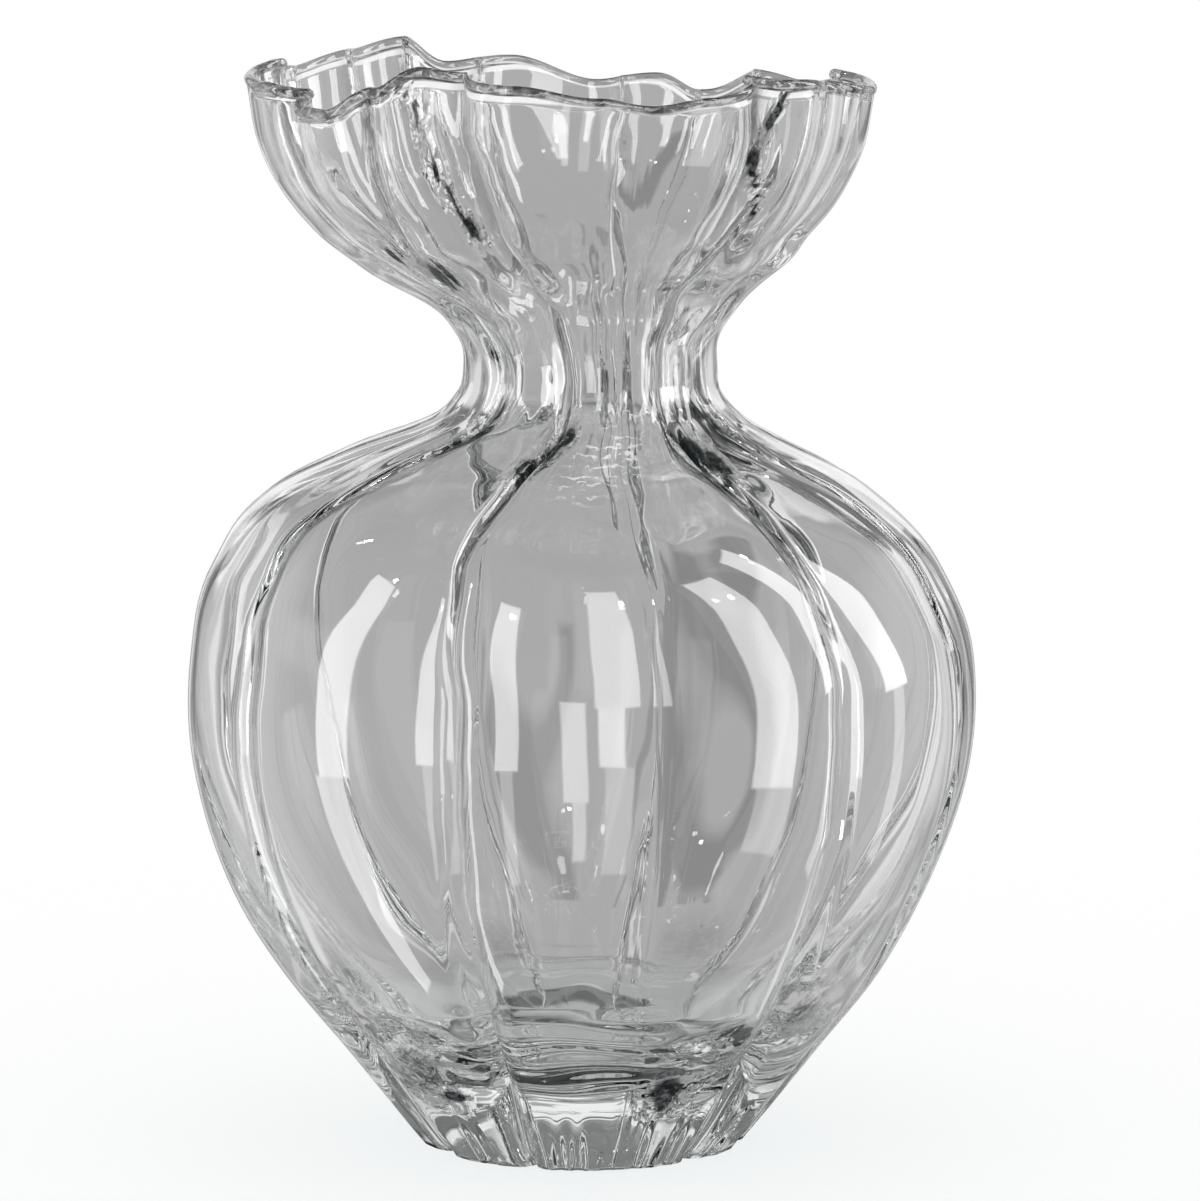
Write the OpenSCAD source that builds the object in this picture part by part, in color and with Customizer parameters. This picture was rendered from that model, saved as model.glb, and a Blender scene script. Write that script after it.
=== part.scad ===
// Mouth-blown clear glass vase: a solid lobed foot, a ribbed belly, a pinched neck and a
// flared collar with a ruffled rim. The wall is one piece of glass, drawn here in seven zones
// that meet face to face. Angles run round the vase from the front (-Y) towards +X.

/* [Body] */
// Height of the top of the rim, midway between its rises and falls
rim_z = 272; // [240:1:320]
// Height of the neck's narrowest ring
neck_z = 199; // [175:1:215]
// Height of the belly's widest ring
belly_z = 113; // [95:1:130]
// Width of the belly over its ribs
belly_d = 201; // [170:1:240]
// Width of the neck over its ribs
neck_d = 65; // [54:1:80]
// Width of the collar at the rim, over its pleats
rim_d = 158; // [130:1:190]
// Width of the flat standing face over its ribs
foot_d = 84; // [60:1:110]

/* [Glass] */
// Thickness of the wall round the belly
belly_wall = 3.6; // [3:0.1:5]
// Thickness of the wall where the foot meets the belly
foot_wall = 6; // [4.5:0.1:8]
// Thickness of the pinched wall at the neck
neck_wall = 5; // [4:0.1:7]
// Thickness of the wall under the rim
rim_wall = 2.2; // [1.8:0.1:2.6]
// Thickness of solid glass under the bowl of the belly
floor_t = 25; // [14:0.5:27]
// Thickness of the fire-polished bead on the rim
bead_d = 3; // [2.7:0.1:4.5]

/* [Ribs] */
// How far the foot's ribs stand out from their edges
foot_rib = 2.2; // [1:0.1:3]
// How far the belly's ribs stand out from their edges
belly_rib = 2.4; // [1:0.1:3]
// How far the shoulder's ribs stand out from their edges, just below the neck
shoulder_rib = 2.6; // [1:0.1:4]
// How far the neck's ribs stand out from their edges
neck_rib = 1.4; // [0.5:0.1:2.5]
// How far the collar's pleats stand out from their edges, at the rim
rim_rib = 4; // [2:0.1:6]

/* [Creases] */
// Depth of the crease between two ribs of the foot
foot_crease = 1.8; // [0.5:0.1:2.5]
// Depth of the crease between two ribs of the belly
belly_crease = 2.2; // [0.5:0.1:2.5]
// Depth of the crease between two ribs of the shoulder, just below the neck
shoulder_crease = 3.2; // [2:0.1:5]
// Depth of the crease between two ribs of the neck
neck_crease = 1.6; // [0.5:0.1:2.5]
// Depth of the crease between two pleats of the collar, at the rim
rim_crease = 4; // [2:0.1:6]
// Depth of the deepest fold that the collar has besides, at the rim
rim_fold = 2.5; // [0:0.1:4]
// From the middle of a crease on the body to its edge
body_crease_w = 5; // [4:0.5:8]
// From the middle of a crease or fold at the rim to its edge
rim_crease_w = 8; // [6:0.5:12]

/* [Ruffle] */
// Greatest rise or fall of the rim from its middle line
ruffle_h = 8; // [0:0.5:12]
// How far the hand-shaped wall sways from its middle line, most at the rim
sway = 5.5; // [0:0.5:8]

/* [Hidden] */

// One row for each crease: its angles on the body, at the neck and at the rim, then how deep
// it and the edges of its ribs are on the body and in the collar
CREASE_SHARES = [
    [-57, -44, -63, 1, 1], [-18, -9, -18, 1, 1], [11, 12, 11, 0.25, 0.2], [41, 34, 41, 1, 1],
    [73, 58, 70, 1, 0.9], [104, 92, 104, 1, 0.8], [136, 128, 136, 1, 0.9],
    [168, 165, 168, 1, 0.7], [198, 200, 198, 1, 0.8], [228, 236, 228, 1, 0.8],
    [262, 274, 262, 1, 0.8]
];
// Where the creases start to draw together, as a share of the neck's height, and where they
// have spread again, as a share of the collar's
DRAWN_FROM_SHARE = 0.8;
SPREAD_BY_SHARE = 0.7;
// Folds that only the collar has, midway across a pleat, as angle and share of rim_fold
FOLD_SHARES = [[-37, 0.8], [57, 0.55], [152, 0.8], [213, 1], [245, 0.65]];
// Places from one crease to the next, closer near the creases
STATION_SHARES = [0, 0.08, 0.26, 0.5, 0.74, 0.92];
// The rim's rise and fall, as angle and share of ruffle_h
RUFFLE_SHARES = [
    [-85, 0.25], [-70, 0.1], [-56, -0.5], [-47, -0.5], [-36, 0.2], [-26, 0.9], [-16, 0.5],
    [-8, 0.45], [7, 0.1], [17, -0.15], [28, 0.05], [41, 0.35], [50, 0.4], [68, 0],
    [85, -0.1], [104, 0], [126, -0.5], [137, -0.3], [152, -1], [161, -0.45],
    [173, -0.7], [190, 0.1], [203, -0.1], [213, 0.75], [226, 0.45], [243, 0.1],
    [260, 0.4], [275, 0.25]
];
// The outline over the ribs, bottom to top, in rows of height, width, wall and rib shares.
// Each block runs from its lower ring to its upper ring.
FOOT_TO_BELLY_SHARES = [
    [0, 0, 0, 0], [0.07, 0.11, 0, 0.3], [0.21, 0.32, 0, 0.6], [0.39, 0.592, 0, 1],
    [0.585, 0.803, 0.6, 1], [0.8, 0.95, 0.95, 1]
];
BELLY_TO_NECK_SHARES = [
    [0, 0, 0, 0], [0.267, 0.04, 0, 0.1], [0.49, 0.175, 0, 0.3], [0.64, 0.365, 0.1, 0.6],
    [0.745, 0.615, 0.3, 0.9], [0.837, 0.87, 0.6, 1], [0.92, 0.977, 0.9, 0.6]
];
NECK_TO_RIM_SHARES = [
    [0, 0, 0, 0], [0.11, 0.02, 0.35, 0.1], [0.233, 0.16, 0.7, 0.35],
    [0.37, 0.455, 0.85, 0.6], [0.48, 0.63, 0.92, 0.8], [0.62, 0.805, 0.95, 0.9],
    [0.8, 0.94, 0.97, 1], [1, 1, 1, 1]
];
// The sway of the middle line: place from foot (0) to neck (1) to rim (2), and share of sway
SWAY_SHARES = [
    [0, 0], [0.18, 0], [0.33, -0.15], [0.48, -0.05], [0.63, -0.05], [0.75, -0.35],
    [0.83, -0.65], [0.885, -0.45], [0.945, 0.3], [1, 0.35], [1.18, 0.15], [1.37, -0.55],
    [1.5, -0.92], [1.75, -1], [2, -1]
];
// Last rows of the zones in the outline
FOOT_END = 3;
BELLY_END = 6;
SHOULDER_END = 10;
NECK_END = 13;
THROAT_END = 16;
// Curve steps between two rows
ROW_STEPS = 2;
// Steps across the bowl's floor, and round the bead
BOWL_STEPS = 8;
BEAD_STEPS = 7;
// How much of each rib and crease of the body shows on the inside. At the rim all of it does.
INSIDE_RIB_SHARE = 0.95;
INSIDE_CREASE_SHARE = 0.7;
// How far the bowl's floor stays level, and how far its side runs straight
FLOOR_ROUND_SHARE = 0.47;
SIDE_ROUND_SHARE = 0.36;
// Where the collar starts to ruffle, as a share of its height
RUFFLE_FROM_SHARE = 0.2;

belly_r = belly_d / 2;
neck_r = neck_d / 2;
rim_r = rim_d / 2;
foot_r = foot_d / 2;
bead_r = bead_d / 2;
// The collar's wall ends where the bead begins
collar_h = rim_z - bead_d - neck_z;

function mixed(a, b, share) = a + (b - a) * share;

// A row of the outline: height, radius, wall, rib depth and crease depth
function outline_rows() = concat(
    [for (s = FOOT_TO_BELLY_SHARES) [
        mixed(0, belly_z, s[0]),
        mixed(foot_r, belly_r, s[1]),
        mixed(foot_wall, belly_wall, s[2]),
        mixed(foot_rib, belly_rib, s[3]),
        mixed(foot_crease, belly_crease, s[3])
    ]],
    [for (s = BELLY_TO_NECK_SHARES) [
        mixed(belly_z, neck_z, s[0]),
        mixed(belly_r, neck_r, s[1]),
        mixed(belly_wall, neck_wall, s[2]),
        mixed(belly_rib, shoulder_rib, s[3]),
        mixed(belly_crease, shoulder_crease, s[3])
    ]],
    [for (s = NECK_TO_RIM_SHARES) [
        neck_z + collar_h * s[0],
        mixed(neck_r, rim_r, s[1]),
        mixed(neck_wall, rim_wall, s[2]),
        mixed(neck_rib, rim_rib, s[3]),
        mixed(neck_crease, rim_crease, s[3])
    ]]
);

// A smooth curve through rows, from row first to row last
function curve_point(a, b, c, d, t) =
    b + (c - a) * t / 2 + (2 * a - 5 * b + 4 * c - d) * t * t / 2
    + (3 * b - a - 3 * c + d) * t * t * t / 2;
function curve(rows, first, last) = [
    for (i = [first:last - 1], k = [0:ROW_STEPS - 1])
        curve_point(row_at(rows, i - 1), rows[i], rows[i + 1], row_at(rows, i + 2), k / ROW_STEPS),
    rows[last]
];
function row_at(rows, i) =
    i < 0 ? 2 * rows[0] - rows[1]
    : i > len(rows) - 1 ? 2 * rows[len(rows) - 1] - rows[len(rows) - 2]
    : rows[i];

// The outward normal of a curve at point i, in height and radius, level where the foot stands
function normal_at(points, i) =
    let (
        below = points[max(i - 1, 0)],
        above = points[min(i + 1, len(points) - 1)],
        rise = above[0] - below[0],
        run = above[1] - below[1]
    )
    i == 0 ? [0, 1] : [-run, rise] / norm([run, rise]);

// How far a height is up the collar: 0 at the neck and 1 at the rim
function limited(x) = min(max(x, 0), 1);
function up_collar(height) = limited((height - neck_z) / collar_h);

// The stations round the vase: crease before it, and place from that crease to the next
STATIONS = [for (i = [0:len(CREASE_SHARES) - 1], share = STATION_SHARES) [i, share]];
N = len(STATIONS);
function crease_angle(i, column) =
    let (n = len(CREASE_SHARES))
    i < n ? CREASE_SHARES[i][column] : CREASE_SHARES[i - n][column] + 360;
function angle_at(station, column) =
    mixed(crease_angle(station[0], column), crease_angle(station[0] + 1, column), station[1]);
function station_angle(station, height) =
    let (
        drawn = limited((height / neck_z - DRAWN_FROM_SHARE) / (1 - DRAWN_FROM_SHARE)),
        eased = drawn * drawn * (3 - 2 * drawn),
        spread = limited(up_collar(height) / SPREAD_BY_SHARE)
    )
    mixed(mixed(angle_at(station, 0), angle_at(station, 1), eased), angle_at(station, 2), spread);

// How deep the creases and rib edges are at a station, from column to column of their table
function strength(station, column) =
    let (next = (station[0] + 1) % len(CREASE_SHARES))
    mixed(CREASE_SHARES[station[0]][column], CREASE_SHARES[next][column], station[1]);

// A narrow valley: 1 in its middle and 0 at its edge
function valley(away, half) = pow(limited(1 - away / half), 2);

// How deep the surface lies below the ribs' crests at a station
function depth_at(station, height, radius, rib, crease) =
    let (
        up = up_collar(height),
        gap = crease_angle(station[0] + 1, 0) - crease_angle(station[0], 0),
        per_degree = radius * PI / 180,
        away = min(station[1], 1 - station[1]) * gap * per_degree,
        wide = mixed(body_crease_w, rim_crease_w, up),
        part = mixed(strength(station, 3), strength(station, 4), up),
        angle = station_angle(station, height),
        folds = [
            for (f = FOLD_SHARES)
                f[1] * valley(abs(angle - f[0]) * per_degree, rim_crease_w)
        ]
    )
    part * (rib * pow(2 * station[1] - 1, 2) + crease * valley(away, wide))
    + rim_fold * up * total(folds);
function total(values, i = 0) = i < len(values) ? values[i] + total(values, i + 1) : 0;

// The rim's lift at an angle, eased between the rows of RUFFLE_SHARES
function lift_share(angle) =
    let (
        a = angle > RUFFLE_SHARES[len(RUFFLE_SHARES) - 1][0] ? angle - 360 : angle,
        i = max([for (k = [0:len(RUFFLE_SHARES) - 2]) if (RUFFLE_SHARES[k][0] <= a) k]),
        t = (a - RUFFLE_SHARES[i][0]) / (RUFFLE_SHARES[i + 1][0] - RUFFLE_SHARES[i][0])
    )
    mixed(RUFFLE_SHARES[i][1], RUFFLE_SHARES[i + 1][1], (1 - cos(180 * t)) / 2);
function lift(angle, height) =
    let (up = limited((up_collar(height) - RUFFLE_FROM_SHARE) / (1 - RUFFLE_FROM_SHARE)))
    ruffle_h * lift_share(angle) * up * up;

// The sideways sway of the middle line at a height
function sway_at(height) =
    let (place = height < neck_z ? height / neck_z : 1 + (height - neck_z) / collar_h)
    sway * lookup(place, SWAY_SHARES);

// A point of the glass: a place on a profile, pushed in at this station
function glass_point(place, normal, rib, crease, station) =
    let (
        depth = depth_at(station, place[0], place[1], rib, crease),
        pushed = place - normal * depth,
        angle = station_angle(station, place[0])
    )
    [
        pushed[1] * sin(angle) + sway_at(place[0]),
        -pushed[1] * cos(angle),
        pushed[0] + lift(angle, place[0])
    ];
function inside_share(share, height) = mixed(share, 1, up_collar(height));
function inner_point(place, normal, rib, crease, station) =
    glass_point(
        place,
        normal,
        rib * inside_share(INSIDE_RIB_SHARE, place[0]),
        crease * inside_share(INSIDE_CREASE_SHARE, place[0]),
        station
    );

ROWS = outline_rows();
OUTER = curve(ROWS, 0, len(ROWS) - 1);
NORMALS = [for (i = [0:len(OUTER) - 1]) normal_at(OUTER, i)];

// Rings of points round the vase, one list for each row of the outline
function outer_ring(i) = [
    for (s = STATIONS)
        glass_point([OUTER[i][0], OUTER[i][1]], NORMALS[i], OUTER[i][3], OUTER[i][4], s)
];
function inner_place(i) = [OUTER[i][0], OUTER[i][1]] - NORMALS[i] * OUTER[i][2];
function inner_ring(i) = [
    for (s = STATIONS) inner_point(inner_place(i), NORMALS[i], OUTER[i][3], OUTER[i][4], s)
];

// The floor of the bowl: a round curve from the middle out to where the belly's inside starts
function bowl_ring(k) =
    let (
        top = ROW_STEPS * FOOT_END,
        rim_place = inner_place(top),
        along = [NORMALS[top][1], -NORMALS[top][0]],
        reach = rim_place[1],
        t = k / BOWL_STEPS,
        a = [floor_t, 0],
        b = [floor_t, reach * FLOOR_ROUND_SHARE],
        c = rim_place - along * reach * SIDE_ROUND_SHARE,
        place = a * pow(1 - t, 3) + 3 * b * t * pow(1 - t, 2) + 3 * c * t * t * (1 - t)
            + rim_place * pow(t, 3)
    )
    [
        for (s = STATIONS)
            inner_point(place, NORMALS[top], OUTER[top][3] * t * t, OUTER[top][4] * t * t, s)
    ];

// The bead: a round section that grows out of the wall's top edge and back into it
function bead_ring(k) =
    let (
        top = len(OUTER) - 1,
        out = NORMALS[top],
        up = [out[1], -out[0]],
        half = OUTER[top][2] / 2,
        foot_angle = asin(half / bead_r),
        centre = [OUTER[top][0], OUTER[top][1]] - out * half + up * bead_r * cos(foot_angle),
        turn = mixed(180 - foot_angle, foot_angle - 180, k / BEAD_STEPS),
        place = centre + up * bead_r * cos(turn) + out * bead_r * sin(turn)
    )
    [for (s = STATIONS) glass_point(place, out, OUTER[top][3], OUTER[top][4], s)];

// The triangles of so many bands between rings, where the last ring of all leads to the first
function bands(number, rings) = [
    for (i = [0:number - 1], k = [0:N - 1])
        let (
            next = (i + 1) % rings,
            beside = (k + 1) % N,
            a = i * N + k,
            b = i * N + beside,
            c = next * N + beside,
            d = next * N + k
        )
        // The band that closes a section is cut along the same lines as the zone it meets
        each next > i ? [[a, d, b], [b, d, c]] : [[a, c, b], [a, d, c]]
];

// A closed solid through rings that follow each other round the section of the wall
module ring_solid(rings) {
    count = len(rings);
    polyhedron(points = [for (ring = rings) each ring], faces = bands(count, count));
}

// A zone of the wall between two rows of the outline
module wall_zone(first, last) {
    ring_solid(concat(
        [for (i = [first:last]) outer_ring(i)],
        [for (i = [last:-1:first]) inner_ring(i)]
    ));
}

// The thick base: solid glass from the standing face up to the bowl's floor
module foot() {
    top = ROW_STEPS * FOOT_END;
    rings = concat(
        [for (i = [0:top]) outer_ring(i)],
        [for (k = [BOWL_STEPS:-1:1]) bowl_ring(k)]
    );
    count = len(rings);
    last = (count - 1) * N;
    under = count * N;
    over = under + 1;
    color([0.78, 0.84, 0.85, 0.6])
        polyhedron(
            points = concat([for (ring = rings) each ring], [[0, 0, 0], [0, 0, floor_t]]),
            faces = concat(
                bands(count - 1, count),
                [for (k = [0:N - 1]) [k, (k + 1) % N, under]],
                [for (k = [0:N - 1]) [last + (k + 1) % N, last + k, over]]
            )
        );
}

// The lower half of the body's ribbed bowl, up to its widest ring
module belly() {
    color([0.86, 0.89, 0.9, 0.5])
        wall_zone(ROW_STEPS * FOOT_END, ROW_STEPS * BELLY_END);
}

// The upper half of the body, drawn in to deep pleats under the neck
module shoulder() {
    color([0.84, 0.88, 0.89, 0.5])
        wall_zone(ROW_STEPS * BELLY_END, ROW_STEPS * SHOULDER_END);
}

// The thick pinched waist, up to its narrowest ring
module neck() {
    color([0.8, 0.85, 0.86, 0.6])
        wall_zone(ROW_STEPS * SHOULDER_END, ROW_STEPS * NECK_END);
}

// The flare from the narrowest ring out to the collar
module throat() {
    color([0.82, 0.86, 0.87, 0.6])
        wall_zone(ROW_STEPS * NECK_END, ROW_STEPS * THROAT_END);
}

// The flared, pleated bowl above the throat
module collar() {
    color([0.88, 0.91, 0.92, 0.5])
        wall_zone(ROW_STEPS * THROAT_END, len(OUTER) - 1);
}

// The ruffled bead, rounded in the flame
module rim() {
    color([0.6, 0.68, 0.69, 0.7])
        ring_solid([for (k = [0:BEAD_STEPS]) bead_ring(k)]);
}

foot();
belly();
shoulder();
neck();
throat();
collar();
rim();
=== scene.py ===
import math

import bpy
import numpy as np
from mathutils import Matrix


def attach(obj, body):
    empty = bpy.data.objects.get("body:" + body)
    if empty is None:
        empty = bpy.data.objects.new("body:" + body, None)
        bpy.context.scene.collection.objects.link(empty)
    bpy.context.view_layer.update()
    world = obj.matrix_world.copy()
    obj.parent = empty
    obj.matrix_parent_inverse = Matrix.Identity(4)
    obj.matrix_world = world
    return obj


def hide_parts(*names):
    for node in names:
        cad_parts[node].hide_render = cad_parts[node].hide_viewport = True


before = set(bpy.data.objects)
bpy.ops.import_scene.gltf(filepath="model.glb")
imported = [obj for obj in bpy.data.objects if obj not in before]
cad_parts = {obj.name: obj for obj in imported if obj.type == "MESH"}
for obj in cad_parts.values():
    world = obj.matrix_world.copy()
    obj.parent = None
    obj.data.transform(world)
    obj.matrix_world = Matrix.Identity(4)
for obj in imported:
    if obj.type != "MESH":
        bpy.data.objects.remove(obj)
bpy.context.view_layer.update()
scene = bpy.context.scene


# The vase's wall: one piece of clear, colourless glass, blown into a ribbed mould. The neck is
# pinched while the glass is soft, the collar is pulled open into pleats, and the foot is a
# solid lobed block. Its outline runs here from bottom to top, in metres.

MM = 0.001
# Height, radius, wall, rib depth and crease depth at each turn of the outline
FOOT = np.array([0, 84 / 2, 6, 2.2, 1.8]) * MM
BELLY = np.array([113, 201 / 2, 3.6, 2.4, 2.2]) * MM
SHOULDER = np.array([199, 65 / 2, 5, 2.6, 3.2]) * MM
NECK = np.array([199, 65 / 2, 5, 1.4, 1.6]) * MM
RIM = np.array([269, 158 / 2, 2.2, 4.0, 4.0]) * MM
NECK_Z = NECK[0]
RIM_Z = RIM[0]
# Rows between two turns: shares of the way in height, width and wall, and in the ribs' depths
FOOT_TO_BELLY = [
    (0, 0, 0, 0), (0.07, 0.11, 0, 0.3), (0.21, 0.32, 0, 0.6), (0.39, 0.592, 0, 1),
    (0.585, 0.803, 0.6, 1), (0.8, 0.95, 0.95, 1),
]
BELLY_TO_NECK = [
    (0, 0, 0, 0), (0.267, 0.04, 0, 0.1), (0.49, 0.175, 0, 0.3), (0.64, 0.365, 0.1, 0.6),
    (0.745, 0.615, 0.3, 0.9), (0.837, 0.87, 0.6, 1), (0.92, 0.977, 0.9, 0.6),
]
NECK_TO_RIM = [
    (0, 0, 0, 0), (0.11, 0.02, 0.35, 0.1), (0.233, 0.16, 0.7, 0.35),
    (0.37, 0.455, 0.85, 0.6), (0.48, 0.63, 0.92, 0.8), (0.62, 0.805, 0.95, 0.9),
    (0.8, 0.94, 0.97, 1), (1, 1, 1, 1),
]
ROW_STEPS = 6


def rows_between(shares, low, high):
    """Outline rows for one block of shares, between its end rows."""
    return [low + (high - low) * np.array([*row, row[3]]) for row in shares]


def smooth_curve(rows):
    """A curve through the rows, with ROW_STEPS points between each row and the next."""
    ends = [2 * rows[0] - rows[1], *rows, 2 * rows[-1] - rows[-2]]
    points = []
    for a, b, c, d in zip(ends, ends[1:], ends[2:], ends[3:]):
        for step in range(ROW_STEPS):
            t = step / ROW_STEPS
            points.append(
                b + (c - a) * t / 2 + (2 * a - 5 * b + 4 * c - d) * t**2 / 2
                + (3 * b - a - 3 * c + d) * t**3 / 2
            )
    points.append(rows[-1])
    return np.array(points)


outline = smooth_curve(
    rows_between(FOOT_TO_BELLY, FOOT, BELLY)
    + rows_between(BELLY_TO_NECK, BELLY, SHOULDER)
    + rows_between(NECK_TO_RIM, NECK, RIM)
)
slope = np.gradient(outline[:, :2], axis=0)
slope /= np.linalg.norm(slope, axis=1)[:, None]
# The outside's normals, in height and radius
outward = np.stack([-slope[:, 1], slope[:, 0]], axis=1)
outward[0] = (0, 1)


# Ribs and ruffle: the mould leaves eleven uneven ribs with narrow creases between them. They run
# from the foot to the rim, where the flared glass was pulled into an irregular ruffle by hand.
# The creases carry painted shade for the shade in them, and crumple into lumps or carry a painted
# white highlight where the soft glass was squeezed most.

# Angles run from the front, -Y, towards +X, in degrees, and tables end at this one.
LAST_ANGLE = 275
# A crease's angle on the body, at the neck and at the rim, how deep it is on the body and in the
# collar, and how sharp it is on the body and in the collar, which also sets its painted shade
GROOVES = [
    (-57, -44, -63, 0.9, 1, 0.5, 0.3), (-18, -9, -18, 1, 1, 1, 0.4), (11, 12, 11, 0.12, 0, 0, 0),
    (41, 34, 41, 1, 1, 1, 1), (73, 58, 70, 1, 0.9, 1, 0.5), (104, 92, 104, 0.7, 0.8, 0.9, 0.4),
    (136, 128, 136, 1, 0.9, 1, 0.6), (168, 165, 168, 1, 0.7, 0.8, 0.3),
    (198, 200, 198, 1, 0.8, 1, 0.5), (228, 236, 228, 1, 0.8, 0.8, 0.3),
    (262, 274, 262, 0.4, 0.8, 0.3, 0.5),
]
# A crease turns to its angle at the neck over these shares of the neck's height, and to the one
# at the rim over these shares of the collar's.
NECK_TURN = (0.8, 1)
RIM_TURN = (0, 0.7)
# How the creases wander: how many waves round the vase, radians up a metre, and degrees
WANDERS = [(4, 95, 0.5), (7, -160, 0.35), (11, 310, 0.22), (5, -520, 0.12)]
BODY_WANDER = 0.4
# Points round one rib crowd towards its creases, and lean a little to one side.
RIB_STEPS = 44
CROWD = 0.55 / (4 * math.pi)
LEAN = 0.03
# How flat a rib's crown is, and how full the ribs are at each height, as a share
CROWN = 2.6
FULLNESS = [(0, 1), (0.12, 1), (0.15, 0.55), (0.18, 0.5), (0.2, 1), (0.269, 1)]
# The creases at each height: width, and depth as a share
CREASE_WIDTHS = [
    (0, 5 * MM), (0.125, 5 * MM), (0.15, 2.8 * MM), (0.185, 2.8 * MM), (0.2, 4.5 * MM),
    (0.269, 8 * MM),
]
SHALLOWS = [(0, 1), (0.05, 1), (0.085, 0.55), (0.15, 0.5), (0.17, 0.65), (0.182, 1), (0.269, 1)]
# Shallower creases behind: the share that is left, up to the first angle from the back's middle,
# and back to the whole depth at the second
BACK_SHARE = 0.35
BACK_ENDS = (60, 80)
# Shares of the ribs and creases that the inside follows
INSIDE_RIB = 0.95
INSIDE_CREASE = 0.8
# Rounded bottoms of the creases: depth, and how far they take over at each height. A crease less
# sharp than the first of FAINT is rounded at any height, and wholly so at the second.
SOFT_DEPTH = 0.8
SOFTS = [(0, 0), (0.05, 0.3), (0.08, 0.9), (0.145, 0.9), (0.175, 0.4), (0.185, 0)]
FAINT = (0.5, 0)
# The sharp line at the bottom of each crease: depth, half width, and share at each height
SHARP_D = 1.5 * MM
SHARP_W = 1.6 * MM
SHARP = [
    (0, 0.8), (0.02, 0.3), (0.06, 0.12), (0.11, 0.15), (0.14, 0.4), (0.165, 1), (0.188, 1.5),
    (0.2, 0.9), (0.225, 0.5), (0.269, 0.6),
]
# Folds of the collar alone: angle, depth, half width, and how sharp they are, which also sets their
# painted shade
FOLDS = [
    (-37, 2.0 * MM, 8 * MM, 1), (57, 1.4 * MM, 7 * MM, 0.3), (152, 2.0 * MM, 9 * MM, 0.3),
    (213, 2.5 * MM, 9 * MM, 0.4), (245, 1.6 * MM, 8 * MM, 0.3),
]
# The ruffle: its height, the shares of the collar that it rises over, and its share round the rim
RUFFLE_H = 8 * MM
RUFFLE_RISE = (0.2, 1)
RUFFLE = [
    (-85, 0.25), (-70, 0.1), (-56, -0.5), (-47, -0.5), (-36, 0.2), (-26, 0.9), (-16, 0.5),
    (-8, 0.45), (7, 0.1), (17, -0.15), (28, 0.05), (41, 0.35), (50, 0.4), (68, 0),
    (85, -0.1), (104, 0), (126, -0.5), (137, -0.3), (152, -1), (161, -0.45),
    (173, -0.7), (190, 0.1), (203, -0.1), (213, 0.75), (226, 0.45), (243, 0.1),
    (260, 0.4), (LAST_ANGLE, 0.25),
]
# The sway of the neck and collar to one side, and its share from foot, 0, over neck, 1, to rim, 2
SWAY = 5.5 * MM
SWAYS = [
    (0, 0), (0.18, 0), (0.33, -0.15), (0.48, -0.05), (0.63, -0.05), (0.75, -0.35),
    (0.83, -0.65), (0.885, -0.45), (0.945, 0.3), (1, 0.35), (1.18, 0.15), (1.37, -0.55),
    (1.5, -0.92), (1.75, -1), (2, -1),
]
# Waves that the tools and the hand left: how many round the vase, radians up a metre, and size in
# mm. They start at nothing on the flat face, and are whole at the second height.
WAVES = [
    (3, 30, 0.10), (5, -45, 0.08), (7, 70, 0.06), (12, -60, 0.035), (17, 90, 0.02),
    (23, -30, 0.012), (31, 25, 0.008),
]
WAVES_RISE = (0, 30 * MM)
# The same for short flutes at the neck and round the foot, and how far they reach up and down
NECK_FLUTES = [(19, -10, 0.06), (37, 8, 0.02)]
NECK_REACH = 30 * MM
FOOT_FLUTES = [(29, 30, 0.12), (47, -20, 0.05)]
FOOT_REACH = 12 * MM
# Short nicks round the foot's edge: angle, half width and depth. They fade over this height,
# above a whole part that is this share of it.
FOOT_NICKS = [
    (-7.5, 2.6 * MM, 0.7 * MM), (-1.5, 2.6 * MM, 0.8 * MM), (17.5, 2.4 * MM, 0.7 * MM),
    (29, 2.8 * MM, 0.8 * MM), (-34, 3.2 * MM, 0.8 * MM), (50, 2.8 * MM, 0.8 * MM),
]
NICK_FADE = 10.625 * MM
NICK_WHOLE = 0.6
# The painted shade line in each crease and fold, standing in for the shade there: half width on the
# body and at the rim, share at each height, and the share of the half width from which all such
# marks fade
DARK_W = 0.9 * MM
DARK_RIM_W = 1.8 * MM
DARKS = [
    (0, 0.3), (0.03, 0.2), (0.06, 0), (0.12, 0.03), (0.14, 0.2), (0.165, 0.75), (0.178, 1),
    (0.195, 0.8), (0.21, 0.6), (0.23, 0.7), (0.269, 0.9),
]
MARK_WHOLE = 0.5
# Crumpled pleats under the neck: half width, height, half height, and how dark their painted shade
# is. They fade out between these angles from the front.
PLEAT_W = 3.2 * MM
PLEAT_Z = 185 * MM
PLEAT_H = 6 * MM
PLEAT_DARK = 0.5
PLEAT_ENDS = (100, 80)
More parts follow.
